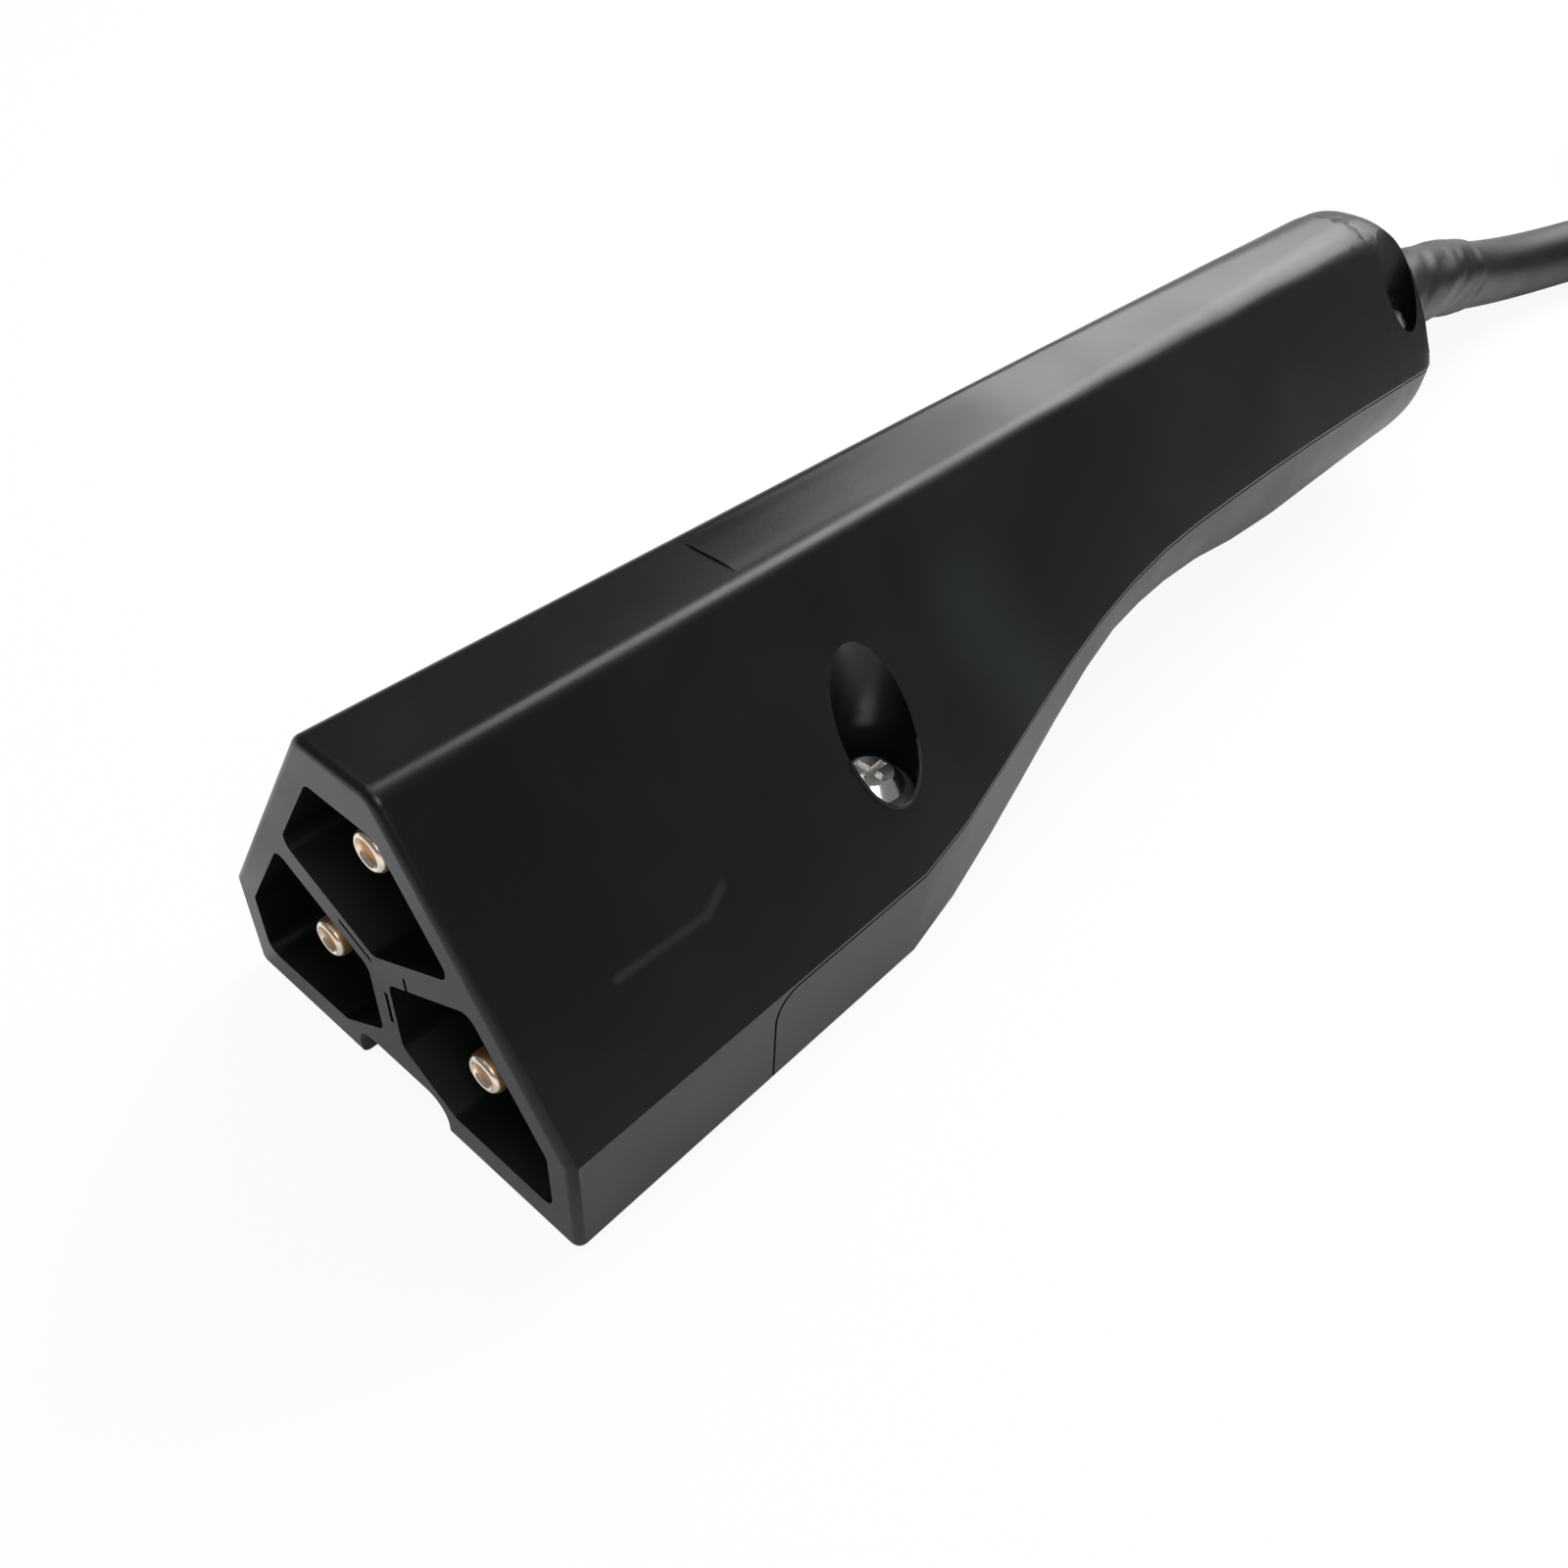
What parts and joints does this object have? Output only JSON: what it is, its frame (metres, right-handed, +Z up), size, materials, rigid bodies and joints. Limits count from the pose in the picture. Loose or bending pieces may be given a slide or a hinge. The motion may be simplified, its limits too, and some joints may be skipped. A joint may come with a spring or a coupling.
{
  "type": "charging handle plug with cord",
  "caption": "Black moulded handle plug with round contact pins in a triangular nose and a thick cord tied up in a hank.",
  "frame": {"origin": "middle of the plug's length and width, at the height of the nose's flat base", "axes": "+X from the open nose to the tail where the cord leaves, +Z up to the flat spine, +Y to the right hand of a person who holds the grip and looks along the plug to its nose"},
  "size_m": [0.5291, 0.1134, 0.0527],
  "materials": {
    "black_moulding": "fine moulded satin",
    "carrier_moulding": "plain moulded",
    "screw_steel": "bright plated",
    "contact_brass": "turned, lightly tarnished",
    "cord_jacket": "smooth extruded jacket",
    "sleeve_rubber": "wrinkled shrunk sleeve",
    "tie_strap": "woven strap",
    "positive_lead": "smooth insulation",
    "negative_lead": "smooth insulation",
    "sense_lead": "smooth insulation",
    "tinned_ring": "tinned, satin"
  },
  "bodies": {
    "root": {"upper_body": "black_moulding", "belly_cover": "black_moulding", "contact_carrier": "carrier_moulding", "contact_retainer": "carrier_moulding", "cord_clamp_bar": "carrier_moulding", "screws": "screw_steel", "contact_pin_top": "contact_brass", "contact_pin_right": "contact_brass", "contact_pin_left": "contact_brass", "lead_top": "sense_lead", "lead_right": "positive_lead", "lead_left": "negative_lead", "cord_inner_end": "cord_jacket", "strain_sleeve": "sleeve_rubber", "cord_lead": "cord_jacket", "cord_hank": "cord_jacket", "cord_tie": "tie_strap", "cord_tail": "cord_jacket", "cord_end_boot": "sleeve_rubber", "end_lead_middle": "sense_lead", "end_lead_right": "positive_lead", "end_lead_left": "negative_lead", "ring_terminal_middle": "tinned_ring", "ring_terminal_right": "tinned_ring", "ring_terminal_left": "tinned_ring"}
  },
  "joints": []
}
